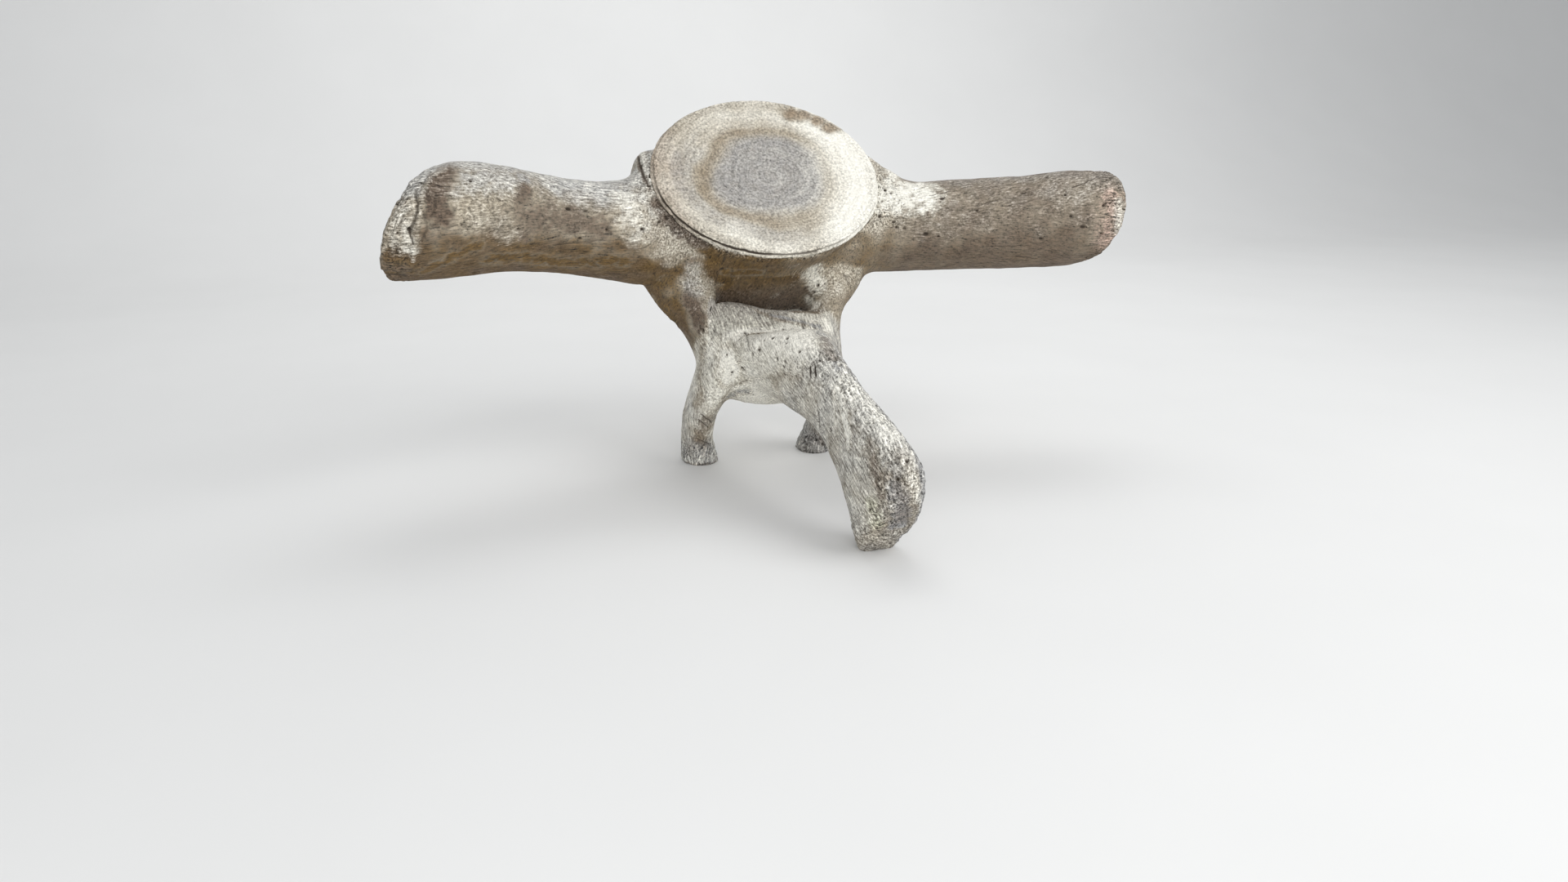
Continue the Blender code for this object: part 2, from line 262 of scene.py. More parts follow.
def node_of_face(places):
    """The name of the node that each place belongs to: the first one whose test it passes."""
    outside, along = np.abs(places[:, 0]), places[:, 1]
    low = beyond(places, "pedicle") < 0
    tests = {
        "transverse_process": low & (beyond(places, "process") > 0),
        "pedicle": low & (beyond(places, "root") > 0),
        "centrum": low,
        "metapophysis": (beyond(places, "metapophysis") > 0) & (outside > LEGS[0]) & (along < LEGS[1]),
        "neural_spine": (beyond(places, "spine") > 0) & (outside < SPINE[0]) & (along > SPINE[1]),
    }
    names = np.select(list(tests.values()), list(tests), "lamina")
    sides = np.where(places[:, 0] > 0, "_left", "_right")
    return [name if name in BONE_NODES else name + side for name, side in zip(names, sides)]


only(skin)
for cut in CUTS:
    for mirror in (1, -1) if cut != "spine" else (1,):
        score(skin, cut, mirror)
centres = in_bone(read(skin.data.polygons, "center"))
radius = np.hypot(centres[:, 0] / DISC_HALF[0], centres[:, 2] / DISC_HALF[1])
end_face = np.minimum(np.abs(centres[:, 1] + PLATE), np.abs(centres[:, 1] + BODY_LENGTH - PLATE)) < VOXEL
select_faces(skin, end_face & (radius < HIDDEN))
with editing():
    bpy.ops.mesh.delete(type="FACE")
names = node_of_face(in_bone(read(skin.data.polygons, "center")))
numbers = np.array([BONE_NODES.index(name) for name in names])
skin.data.attributes.new("node", "INT", "FACE").data.foreach_set("value", numbers)
apply_modifier(skin, "SUBSURF", levels=1, render_levels=1)
numbers = read(skin.data.attributes["node"].data, "value", 1, int)
print({name: int((numbers == index).sum()) for index, name in enumerate(BONE_NODES)})

# %% [markdown]
# ## Sculpting in code
#
# A sculptor would now push the skin's points in and out with brushes. Here the brushes are functions
# that add to a list of heights, one for each point, and all heights are applied together at the end.
# Noise is the first brush: the classic kind, with a random slope at each corner of a grid of cubes.

# %% Make smooth noise
NOISE_TABLE = 256
NOISE_GAIN = 1.6


def noise(places, seed):
    """Smooth noise between about -1 and 1, with swellings one unit wide."""
    random = np.random.default_rng(seed)
    order = np.tile(random.permutation(NOISE_TABLE), 2)
    slopes = random.normal(size=(NOISE_TABLE, 3))
    slopes /= np.linalg.norm(slopes, axis=1)[:, None]
    cell = np.floor(places).astype(int)
    inside = places - cell
    ease = inside**3 * (inside * (inside * 6 - 15) + 10)
    value = np.zeros(len(places))
    for corner in itertools.product((0, 1), repeat=3):
        x, y, z = ((cell + corner) % NOISE_TABLE).T
        slope = slopes[order[(order[(order[x] + y) % NOISE_TABLE] + z) % NOISE_TABLE]]
        share = np.prod(np.where(corner, ease, 1 - ease), axis=1)
        value += share * np.einsum("ij,ij->i", slope, inside - corner)
    return value * NOISE_GAIN


def rise(start, end, value):
    """0 before the start, 1 after the end, and a smooth rise between them."""
    share = np.clip((value - start) / (end - start), 0, 1)
    return share * share * (3 - 2 * share)


points, normals = read(skin.data.vertices, "co"), read(skin.data.vertices, "normal")
places = in_bone(points)
facing = normals @ bone_axes.T
print("noise on the skin from", noise(places / 0.02, 1).min().round(2))

# %% [markdown]
# The bone's limbs grow in different directions, and so does their grain. How much a point belongs to
# each limb is a number from 0 to 1, worked out from where it is: out to the side for the transverse
# processes, up the back for the neural spine, and forward for the metapophyses. The plain numbers in
# these steps are distances in metres.

# %% Tell the limbs apart
outward = np.abs(places[:, 0])
tailward, backward = places[:, 1], places[:, 2]
of_process = rise(0.12, 0.19, outward)
of_spine = rise(0.225, 0.27, backward) * rise(-0.16, -0.10, tailward)
of_spine *= 1 - rise(0.05, 0.08, outward)
of_leg = rise(0.18, 0.215, backward) * rise(-0.13, -0.18, tailward)
of_leg *= rise(0.03, 0.06, outward)
of_arch = rise(0.11, 0.15, backward) * (1 - of_spine) * (1 - of_leg) * (1 - of_process)
of_body = np.clip(1 - of_process - of_spine - of_leg - of_arch, 0, 1)
LIMBS = {"process": of_process, "spine": of_spine, "leg": of_leg, "arch": of_arch, "body": of_body}
GRAIN = {
    "process": (1.0, 0.0, 0.0),
    "spine": (0.0, 0.43, 0.90),
    "leg": (0.0, -0.84, 0.54),
    "arch": (0.0, 0.25, 0.97),
    "body": (0.0, 0.97, 0.25),
}
print({name: int(share.sum()) for name, share in LIMBS.items()})

# %% [markdown]
# Bone has no flat stretches. Broad swellings come first, then the grain: long shallow furrows, made of
# noise that is squeezed across each limb and stretched along it. The furrows wander, because a slower
# noise shifts the places before the grain is read.

# %% Add swellings and grain
SWELLING = {0.060: 0.0009, 0.024: 0.00045}
FURROWS = {(0.040, 0.0058): 0.00030, (0.022, 0.0036): 0.00022}
WANDER = 0.006
height = np.zeros(len(points))
for number, (width, depth) in enumerate(SWELLING.items()):
    height += noise(places / width, 10 + number) * depth
wander = np.stack([noise(places / 0.035, seed) for seed in (20, 21, 22)], axis=1) * WANDER


def along_grain(limb, length, width):
    """Places squeezed so that a unit is one furrow long and one wide."""
    direction = np.array(GRAIN[limb])
    direction = direction / np.linalg.norm(direction)
    shifted = places + wander
    along = shifted @ direction
    across = shifted - along[:, None] * direction
    return across / width + along[:, None] * direction / length


grain = np.zeros(len(points))
for limb, share in LIMBS.items():
    for number, ((length, width), depth) in enumerate(FURROWS.items()):
        furrows = noise(along_grain(limb, length, width), 30 + number)
        grain += furrows * depth * share
height += grain
print("grain up to", round(grain.max() * 1000, 2), "mm")

# %% [markdown]
# Where joints and ligaments sat, the bone's dense skin is thin or gone, and the spongy inside shows:
# round the two end plates, on the ends of the processes, on the feet, and all over the tail side of
# the neural spine. There the surface is rough at every size.

# %% Roughen the worn places
ROUGHNESS = {0.014: 0.0011, 0.0075: 0.0009, 0.0045: 0.0007}
near_plate = rise(-0.034, -0.014, tailward) + rise(-0.138, -0.154, tailward)
near_plate *= (1 - rise(0.15, 0.18, outward)) * (1 - rise(0.10, 0.13, backward))
left_end = rise(0.395, 0.430, places[:, 0])
right_end = rise(0.380, 0.415, -places[:, 0] + 0.30 * (0.05 - backward))
spine_face = of_spine * rise(-0.1, 0.5, facing[:, 1]) * 0.8
spine_tip = of_spine * rise(0.425, 0.455, backward)
foot = rise(0.050, 0.020, points[:, 2]) * (1 - of_spine)
patchy = 0.75 + 0.5 * noise(places / 0.03, 40)
worn = np.clip(near_plate + left_end + right_end + spine_face + spine_tip + foot, 0, 1) * patchy
rough = np.zeros(len(points))
for number, (width, depth) in enumerate(ROUGHNESS.items()):
    rough += noise(places / width, 50 + number) * depth
height += rough * worn
print(int((worn > 0.5).sum()), "points are worn")

# %% [markdown]
# The canal for the spinal cord is low: its floor swells towards its roof inside, and most of all on
# the animal's right. The ledge at the floor's tail end slopes with it. The solids have it level and a
# little lower, so the floor and the ledge are shifted. The shift dies away up the canal's walls, slowly
# enough that nothing folds.

# %% Fill up the canal
CANAL_FILL = 0.0150
LOBE = ((-0.046, -0.118), (0.058, 0.038), 0.0165)  # the right swelling's middle, reach and height
LEDGE_SLOPE = 0.11
canal_floor = rise(0.100, 0.150, backward) * rise(0.178, 0.166, backward)
canal_floor *= rise(0.086, 0.074, outward) * rise(-0.19, -0.165, tailward)
canal_floor *= rise(-0.075, -0.095, tailward)
from_lobe = np.hypot(*((places[:, :2] - LOBE[0]) / LOBE[1]).T)
lobe = canal_floor * rise(1, 0, from_lobe)
round_lobe = rise(0.05, 0.40, canal_floor * rise(1.6, 0.9, from_lobe))
on_ledge = rise(0.090, 0.060, outward) * rise(-0.150, -0.105, tailward)
on_ledge *= rise(0.130, 0.145, backward) * rise(0.205, 0.165, backward)
canal_shift = LEDGE_SLOPE * places[:, 0] * on_ledge - CANAL_FILL * canal_floor - LOBE[2] * lobe
print("filled", int((canal_floor > 0.5).sum()), "points of the canal's floor")

# %% [markdown]
# Some brushes act on one place only, so a search tree finds the skin's points near a place quickly.
# The arch's walls are thin, and a hole in one side must not dent the other, so a brush only touches
# points whose normal agrees with its own. A brush can also leave paint: the share of one colour at each
# point, from 0 to 1, which the materials read later.

# %% Make brushes
PAINTS = ("grey", "ochre", "brown", "pink", "green", "bleach")  # each lies over the ones before it
SAME_SIDE = 0.2
LEAP = 0.030  # a longer step is a jump from one limb to another, and leaves no mark
paint = {name: np.zeros(len(points)) for name in (*PAINTS, "dirt")}
tree = kdtree.KDTree(len(points))
for index, point in enumerate(points):
    tree.insert(point, index)
tree.balance()
grain_way = sum(share[:, None] * np.array(GRAIN[limb]) for limb, share in LIMBS.items()) @ bone_axes
grain_way /= np.linalg.norm(grain_way, axis=1)[:, None]


def touched(place, normal, reach):
    """The numbers of the skin's points within reach of a place, on its own side of the wall."""
    found = np.array([index for _, index, _ in tree.find_range(place, reach)], dtype=int)
    return found[normals[found] @ normal > SAME_SIDE]


def dab(name, found, share):
    """Leave paint on some points where there is less of it."""
    paint[name][found] = np.maximum(paint[name][found], share)


def dent(middle, radius, stretch, depth, dirt):
    """Push a hole into the skin at one of its points, longer along the grain, and darken it."""
    found = touched(points[middle], normals[middle], radius * stretch)
    apart = points[found] - points[middle]
    lengthwise = apart @ grain_way[middle]
    crosswise = np.linalg.norm(apart - lengthwise[:, None] * grain_way[middle], axis=1)
    inside = 1 - rise(0.25, 1.0, np.hypot(crosswise, lengthwise / stretch) / radius)
    height[found] -= inside * depth
    dab("dirt", found, inside * dirt)


def near_line(stations, reach):
    """How near the skin's points are to a line through some of them: 1 on it, 0 out of reach."""
    near = np.zeros(len(points))
    for start, end in zip(stations, stations[1:]):
        way = points[end] - points[start]
        length = np.linalg.norm(way)
        if length > LEAP:
            continue
        found = touched((points[start] + points[end]) / 2, normals[start], reach + length / 2)
        apart = points[found] - points[start]
        share = np.clip(apart @ way / max(length**2, MERGE_DISTANCE**2), 0, 1)
        away = np.linalg.norm(apart - share[:, None] * way, axis=1)
        near[found] = np.maximum(near[found], 1 - away / reach)
    return near


print("the search tree holds", len(points), "points")

# %% [markdown]
# The pores come at random, with a seed so that every run drills the same ones. Worn places get
# thousands of small shallow ones, close together, which is how spongy bone looks from outside. The
# holes where blood vessels went in are fewer and deeper, and most lie round the plates, on the arch and
# on the feet.

# %% Drill the pores
random = np.random.default_rng(7)
PORES = (  # how many, radius from and to, depth for a radius of 1, longest stretch, dirt, how likely
    (5200, 0.0014, 0.0026, 0.60, 1.7, 0.50, worn**2 + 0.01),
    (900, 0.0012, 0.0020, 0.75, 1.5, 0.60, 0.3 + worn),
    (240, 0.0018, 0.0034, 0.95, 2.4, 0.95, 0.12 + near_plate + 0.6 * of_arch + 0.6 * foot),
)
for number, smallest, largest, depth, longest, dirt, where in PORES:
    for middle in random.choice(len(points), number, p=where / where.sum()):
        radius = random.uniform(smallest, largest)
        dent(middle, radius, random.uniform(1, longest), radius * depth, dirt * random.uniform(0.6, 1))
print("drilled", sum(row[0] for row in PORES), "pores")

# %% [markdown]
# Drying bone splits along its grain. Each crack starts at a random point and walks in short steps the
# way the grain runs, always back onto the skin. The cracks have a seed of their own, so that they stay
# where they are when the number of pores is changed.

# %% Open cracks along the grain
random = np.random.default_rng(8)
CRACKS = 120
CRACK_STEP = 0.0035
CRACK_WANDER = 0.16
CRACK_STEPS = (4, 17)
CRACK_WIDTH = (0.0013, 0.0022)
CRACK_DEPTH = (0.0004, 0.0013)
CRACK_DIRT = (0.2, 0.75)
plain_grain = np.max(list(LIMBS.values()), axis=0) ** 4
for start in random.choice(len(points), CRACKS, p=plain_grain / plain_grain.sum()):
    line = [start]
    for _ in range(random.integers(*CRACK_STEPS)):
        here = line[-1]
        heading = grain_way[here] + random.normal(scale=CRACK_WANDER, size=3)
        heading -= normals[here] * (heading @ normals[here])
        line.append(tree.find(points[here] + heading * CRACK_STEP)[1])
    near = rise(0, 1, near_line(line, random.uniform(*CRACK_WIDTH)))
    height -= near * random.uniform(*CRACK_DEPTH)
    dab("dirt", slice(None), near * random.uniform(*CRACK_DIRT))
print("opened", CRACKS, "cracks")

# %% [markdown]
# What faces up is greyer and a little paler, and what faces down is browner and more ochre. The arch,
# the spine and the legs are the palest, because their dense skin has bleached most, and the left process
# is browner than the right one. Noise makes all borders wander. Inside the canal through the arch the
# colour is ochre near its tail end and browner deeper in.

# %% Weather the colours
up = normals[:, 2]
slow, patches = noise(places / 0.050, 60), noise(places / 0.016, 61)
wandering = up + 0.30 * slow + 0.25 * patches
top, under = rise(0.1, 0.9, wandering), rise(0.0, -0.75, wandering)
in_canal = (outward < 0.064) & (backward > 0.095) & (np.abs(tailward + 0.13) < 0.06)
in_canal &= (backward < 0.150) | ((facing[:, 2] < -0.75) & (backward < 0.178))
left_side = rise(-0.05, 0.05, places[:, 0])
of_lamina = of_arch * rise(0.132, 0.170, backward) * (1 - 0.6 * in_canal)
turned_right = rise(0.1, 0.8, facing[:, 0])
left_process = of_process * left_side
pale = of_lamina * (0.71 - 0.34 * turned_right) + of_leg * (0.40 - 0.25 * left_side)
pale += of_spine * (0.44 - 0.40 * turned_right + 0.14 * rise(0.2, 0.8, facing[:, 1]))
pale += of_body * 0.20 + near_plate * 0.20 + of_process * (0.08 + 0.20 * top * (1 - left_side))
pale += (0.14 * slow + 0.14 * patches) * (1 - 0.6 * of_process)
paint["bleach"] += np.clip(pale + 0.10 * top - 0.25 * under * (1 - of_lamina), 0, 1)
paint["grey"] += top * (0.85 - 0.50 * left_side) + of_spine * 0.45 + foot * 0.4
paint["grey"] += of_leg * 0.4 + 0.6 * (of_lamina + of_spine) * turned_right
paint["grey"] += 0.30 * noise(places / 0.030, 62)
paint["ochre"] += under * (1 - 0.85 * of_lamina - 0.5 * of_leg - 0.85 * of_spine) * (0.90 - 0.40 * left_side)
paint["ochre"] += 0.36 * of_lamina + 0.20 * noise(places / 0.022, 63)
paint["brown"] += of_process * (0.22 + 0.36 * left_side)
paint["brown"] += 0.24 * under * (1 - of_lamina) * (1 - of_spine) * (1 - 0.6 * left_side)
paint["brown"] += 0.40 * (of_arch - of_lamina) + 0.18 * of_leg * left_side
paint["brown"] += 0.32 * noise(places / 0.026, 64) * (1 - 0.6 * of_lamina) * (1 - 0.5 * left_process)
paint["green"] += 0.30 * of_lamina * (1 - turned_right)
deep = rise(-0.075, -0.120, tailward)
for name, share in (("ochre", 0.85 - 0.55 * deep), ("brown", 0.25 + 0.45 * deep)):
    paint[name] = np.where(in_canal, np.maximum(paint[name], share), paint[name])
for name, share in (("ochre", 0.15), ("brown", 0.20), ("grey", 0.60), ("bleach", 0.32)):
    paint[name] += (share - paint[name]) * round_lobe
print({name: round(float(share.mean()), 2) for name, share in paint.items()})

# %% [markdown]
# Now the details that the picture shows. Each is a line through a few pixels, or a single one. The
# camera's rays carry them onto the skin, so they lie on the bone from every side. Gouges are holes and
# slits with dirt in them, but one wide gouge is partly painted shadow. A few stains are painted shade
# and a few are painted light, as their comments say. A stain has a broken border, covers most of the
# paint that is already there, and may raise or lower the bone a little.

# %% Place the marks that the picture shows
PIXEL_STEP = 3.0
MILLIMETRE = 0.001
COVERS = 0.7  # how much of the other paints a full stain takes away
# the first number of each gouge is how dark it is painted: dirt, and in one wide gouge painted shadow too
GOUGES = (  # dirt, reach and depth in millimetres, pixels
    # the right process's end: a rough hollow facet inside a raised edge
    (0.65, 3, 1.6, (509, 234), (512, 250), (509, 270), (503, 282)), (1, 4.5, 4, (502, 284)),
    (0.75, 2.4, 1.5, (502, 286), (506, 300)), (0.55, 3, 1.8, (522, 232), (526, 246)),
    (0.5, 3, 1.8, (534, 238), (531, 262)), (0.5, 2.8, 1.8, (519, 262), (524, 280), (517, 296)),
    (0.55, 2.6, 1.6, (495, 262), (488, 280)), (0.55, 2.6, 1.6, (484, 268), (480, 286)),
    (0.9, 3, 2.5, (487, 288)), (0.9, 2.8, 2.5, (499, 303)), (0.6, 6, 0, (480, 335), (497, 337)),
    (0.9, 2.6, 2.2, (565, 276)), (0.9, 2.6, 2.2, (636, 281)),
    # its root
    # the wide, shallow gouge at the end of the next line is dirt along the plate's seam and painted shadow
    # in the crevice under the disc's rim
    (0.9, 3, 3, (744, 281)), (0.9, 3.2, 3, (808, 272)), (0.75, 10, 0.6, (814, 248), (832, 270), (866, 293)),
    # the body's rims on both sides of the disc
    (1, 4.2, 5, (797, 216)), (1, 3.4, 4, (800, 206)),
    (0.7, 3.6, 1.2, (781, 188), (784, 204), (789, 219), (794, 228)), (0.8, 3, 2.5, (795, 205)),
    (0.8, 3, 2.5, (799, 226)), (1, 3.4, 4, (1084, 232)), (1, 3, 4, (1091, 236)), (0.8, 3, 3, (1071, 192)),
    (0.8, 3, 3, (1077, 205)), (0.8, 2.8, 3, (1083, 217)), (0.8, 2.8, 3, (1080, 246)),
    (0.9, 3, 3, (1065, 272)), (0.9, 3, 3, (1098, 278)),
    # the canal through the arch
    (0.9, 3.5, 3, (942, 334)),
    # the lamina
    (1, 4.2, 4.5, (920, 434)), (1, 3.8, 4, (951, 440)), (1, 3.6, 4, (978, 430)),
    (0.9, 2.8, 2.5, (905, 418)), (0.9, 2.6, 2.5, (935, 416)), (0.9, 2.6, 2.5, (962, 420)),
    (0.9, 2.4, 2.5, (890, 436)), (0.9, 7, 3, (894, 496), (908, 499)),
    (1, 3.4, 3.5, (1001, 503), (1003, 526)), (1, 3.2, 2.5, (991, 450), (991, 462)),
    (1, 3.2, 2.5, (997, 450), (998, 462)),
    # the right leg, and the left one behind it
    (0.7, 2.2, 1.6, (858, 508), (875, 520)), (0.7, 2, 1.4, (855, 514), (868, 524)),
    (0.7, 2.2, 1.6, (853, 538), (870, 545)),
    # the neural spine
    (1, 4, 4.5, (1098, 588)), (0.5, 2.2, 0.9, (1097, 604), (1112, 622), (1114, 650)),
    (0.5, 2.2, 0.9, (1106, 602), (1122, 622), (1124, 645)),
    # the left process
    (0.9, 3.2, 2.8, (1196, 257)), (0.9, 3.2, 2.8, (1305, 238)), (0.8, 4, 3, (1352, 252)),
    (0.8, 3.6, 3, (1362, 272)), (0.7, 4, 3, (1350, 288)), (0.7, 3.6, 2.6, (1366, 250)),
)
STAINS = (  # paint, its strength, reach and height in millimetres, pixels
    # the right process's end: a rough hollow facet inside a raised edge
    ("brown", 1.1, 22, 0, (550, 212), (534, 226), (531, 250), (541, 266)),
    ("bleach", 0.3, 5, 2.6, (545, 210), (527, 219), (517, 238), (513, 262), (510, 290), (505, 318)),
    ("bleach", 0.5, 26, -4, (492, 258), (490, 300)),
    ("bleach", 0.6, 16, 0, (497, 284), (503, 306)),
    ("brown", 0.55, 18, 2, (472, 326), (498, 328)),
    ("ochre", 0.9, 16, 0, (520, 332), (560, 312), (584, 302)),
    ("grey", 0.8, 26, 1.2, (575, 222), (640, 222)),
    ("bleach", 0.35, 28, 0, (575, 226), (625, 224)),
    ("brown", 0.9, 17, -0.6, (643, 232), (639, 262), (643, 290)),
    ("brown", 0.7, 36, 0, (650, 268), (700, 268), (735, 280)),
    ("bleach", 0.22, 30, 0, (585, 262), (620, 285)),
    ("ochre", 0.9, 10, 0, (663, 321), (690, 323)),
    ("ochre", 0.9, 22, 0, (600, 318), (640, 316), (700, 322), (765, 320)),
    # its root
    ("bleach", 0.55, 34, 0, (762, 240), (774, 265), (782, 280)),
    # painted shadow: this strong brown line darkens the crevice where the disc's rim overhangs the pedicle
    ("brown", 1.3, 19, -0.8, (806, 248), (826, 276), (856, 298)),
    ("brown", 1.1, 22, 0, (846, 368), (856, 396)),
    ("grey", 0.6, 24, 0, (846, 328), (852, 356)),
    ("bleach", 0.35, 20, 0, (850, 330), (858, 352)),
    # the body's rims on both sides of the disc
    ("bleach", 0.6, 12, 1.8, (786, 190), (790, 212), (797, 236)),
    ("brown", 0.9, 6, -0.6, (781, 186), (783, 203), (789, 220), (796, 232)),
    ("bleach", 1, 18, 1.6, (1082, 188), (1092, 210), (1094, 230)),
    # the canal through the arch
    ("ochre", 0.9, 16, 0, (890, 334), (930, 334)),
    ("bleach", 0.75, 24, 0, (994, 330), (1002, 352)),
    ("ochre", 0.45, 16, 0, (985, 368), (1000, 376)),
    # painted light: this pale stain brightens the canal's lower right side, where the arch casts shade
    ("bleach", 0.62, 16, 0, (990, 370), (1000, 384)),
    ("grey", 1, 7, 0.6, (945, 398), (975, 399), (1004, 403)),
    # painted shadow: a thin dark line along the lower edge of the canal floor's grey swelling
    ("brown", 0.55, 4.5, 0, (900, 393), (930, 396), (955, 400), (985, 402), (1004, 404)),
    # the lamina
    ("ochre", 0.6, 22, 0, (860, 425), (857, 460), (855, 490)),
    ("grey", 0.9, 18, 1.2, (1004, 406), (1016, 428), (1026, 452)),
    ("brown", 0.5, 12, 0, (1008, 414), (1020, 440)),
    ("bleach", 1, 26, 0, (892, 440), (893, 462)),
    # painted shade: this grey dent and the brown line after it darken the lamina's underside and the fold
    # along its lower edge
    ("grey", 0.9, 11, -2, (889, 490), (900, 482), (914, 479)),
    ("brown", 0.4, 6, -1.4, (886, 488), (899, 474), (922, 465), (950, 461), (980, 462)),
    # the right leg, and the left one behind it
    ("bleach", 1, 6.5, 0.8, (884, 502), (876, 530)),
    ("bleach", 0.9, 6.5, 0.6, (965, 508), (965, 545)),
    # the neural spine
    ("bleach", 1, 12, 0.6, (1024, 476), (1034, 500), (1040, 545)),
    ("bleach", 0.8, 4.5, 0.5, (1020, 480), (1024, 520)),
    ("brown", 0.75, 14, -0.8, (1064, 545), (1072, 580), (1078, 606)),
    ("brown", 0.7, 16, 0, (1082, 584), (1100, 588)),
    ("grey", 1.2, 21, -2.2, (1096, 600), (1106, 622), (1102, 645)),
    ("brown", 0.45, 21, 0, (1100, 600), (1108, 622), (1104, 640)),
    ("brown", 0.4, 20, 0, (1104, 550), (1116, 575), (1120, 592)),
    ("grey", 0.6, 22, 0, (1085, 560), (1098, 575)),
    ("green", 0.6, 18, 0, (1066, 618), (1070, 640)),
    # the left process
    # partly painted highlight: the broad white patch at this process's root and its faint edge are bleached
    # bone made paler still by painted light
    ("bleach", 0.18, 40, 0, (1120, 240), (1160, 240)),
    ("bleach", 1, 46, 0, (1086, 238), (1128, 238)),
    ("pink", 0.6, 36, 0, (1364, 245), (1358, 292)),
    ("brown", 0.45, 14, -1, (1340, 240), (1350, 262), (1340, 290)),
    ("bleach", 0.5, 16, 0, (1372, 250), (1370, 280)),
)


def on_skin(pixel):
    """The skin's point that the camera sees at a pixel, or nothing where it looks past the bone."""
    hit, place, _, _ = skin.ray_cast(camera.location, sight_line(pixel))
    return tree.find(place)[1] if hit else None


def line_through(pixels):
    """The skin's points under a line through pixels. A single pixel gives the same point twice."""
    line = [on_skin(pixels[0])]
    for start, end in zip(pixels, pixels[1:]):
        steps = math.ceil(math.dist(start, end) / PIXEL_STEP)
        for step in range(1, steps + 1):
            line.append(on_skin(Vector(start).lerp(Vector(end), step / steps)))
    line = [point for point in line if point is not None]
    return line + line[-1:]


broken = 0.95 + 0.45 * noise(places / 0.009, 70) + 0.25 * noise(places / 0.004, 71)
gouges = [("dirt", dirt, reach, -depth, *pixels) for dirt, reach, depth, *pixels in GOUGES]
for name, strength, reach, lift, *pixels in (*gouges, *STAINS):
    near = near_line(line_through(pixels), reach * MILLIMETRE)
    height += rise(0, 0.8, near) * lift * MILLIMETRE
    share = rise(0.05, 0.9, near if name == "dirt" else near * broken)
    for other in PAINTS if name != "dirt" else ():
        paint[other] *= 1 - COVERS * share * min(strength, 1)
    dab(name, slice(None), share * strength)
print("placed", len(GOUGES), "gouges and", len(STAINS), "stains")

# %% [markdown]
# All heights are applied at once, along the normals of the smooth skin, and so is the shift of the
# canal and its ledge. Then the feet are pressed flat on the floor, and nothing may leave the box of the
# plain solids. The faces are shared out to their nodes, each as a piece of its own, and the open borders
# are closed inside the bone. Each cap is poked into a fan about its middle. Some borders turn a corner
# from one cut to the next, and the middle of their fan is moved to that corner, so that nothing sticks
# out. A cap would spoil the shading next to it, so every piece keeps the whole skin's normals.

# %% Shape the skin and part it
FOOT_HEIGHT = 0.0012
FACES_DOWN = -0.6
CAP_SIDES = 8  # a face with more sides than this is a cap
BEND = (0.178, -0.067, 0.054)  # where the cuts of a root and a process meet, inside the bone
BENT_CAP = (0.100, 0.170)  # the caps whose middle lies this far out turn the corner there


def in_box(places):
    """Places in the room, moved back into the box of the plain solids where they lie outside it."""
    return np.clip(places, np.array(cad_box[0]), np.array(cad_box[1]))


def keep_on_points(mesh, name, values, kind="FLOAT"):
    """Store values on a mesh's points, under a name."""
    layer = mesh.attributes.new(name, kind, "POINT")
    layer.data.foreach_set("vector" if kind == "FLOAT_VECTOR" else "value", np.ravel(values))


moved = points + normals * height[:, None] + canal_shift[:, None] * bone_axes[2]
moved[(points[:, 2] < FOOT_HEIGHT) & (up < FACES_DOWN), 2] = 0
skin.data.vertices.foreach_set("co", in_box(moved).ravel())
skin.data.update()
for name, share in paint.items():
    keep_on_points(skin.data, name, np.clip(share, 0, 1))
for name, share in (*LIMBS.items(), ("worn", worn)):
    keep_on_points(skin.data, name, share)
keep_on_points(skin.data, "whole_normal", read(skin.data.vertices, "normal"), "FLOAT_VECTOR")

pieces = {}
for name in BONE_NODES[1:]:
    numbers = read(skin.data.attributes["node"].data, "value", 1, int)
    only(skin)
    select_faces(skin, numbers == BONE_NODES.index(name))
    with editing():
        bpy.ops.mesh.separate(type="SELECTED")
    pieces[name] = next(obj for obj in bpy.context.selected_objects if obj != skin)
pieces[BONE_NODES[0]] = skin
for name, piece in pieces.items():
    only(piece)
    with editing():
        bpy.ops.mesh.select_mode(type="EDGE")
        bpy.ops.mesh.select_all(action="SELECT")
        bpy.ops.mesh.fill_holes(sides=0)
        bpy.ops.mesh.select_mode(type="FACE")
        bpy.ops.mesh.select_all(action="DESELECT")
        bpy.ops.mesh.select_face_by_sides(number=CAP_SIDES, type="GREATER")
        bpy.ops.mesh.poke()
    corners = read(piece.data.loops, "vertex_index", 1, int)
    for hub in np.flatnonzero(np.bincount(corners) > CAP_SIDES):
        place = in_bone(np.array(piece.data.vertices[hub].co))
        if BENT_CAP[0] < abs(place[0]) < BENT_CAP[1]:
            piece.data.vertices[hub].co = in_room(np.array(BEND) * (np.sign(place[0]), 1, 1))
    bpy.ops.object.shade_smooth()
    whole = read(piece.data.attributes["whole_normal"].data, "vector")
    piece.data.normals_split_custom_set_from_vertices(whole)
    piece.name = piece.data.name = "bone_" + name
    print(piece.name, sum(len(face.vertices) - 2 for face in piece.data.polygons), "triangles")

# %% [markdown]
# ## The end plates
#
# A young whale's vertebra wears a thin plate of dense bone on each end of its body. Each plate is a
# profile spun round the body's axis and then squeezed to the disc's height: a shallow dish, a rounded
# rim, and a groove in the edge where the plate has not quite grown onto the body, which is the dark
# line along the rim in the picture.

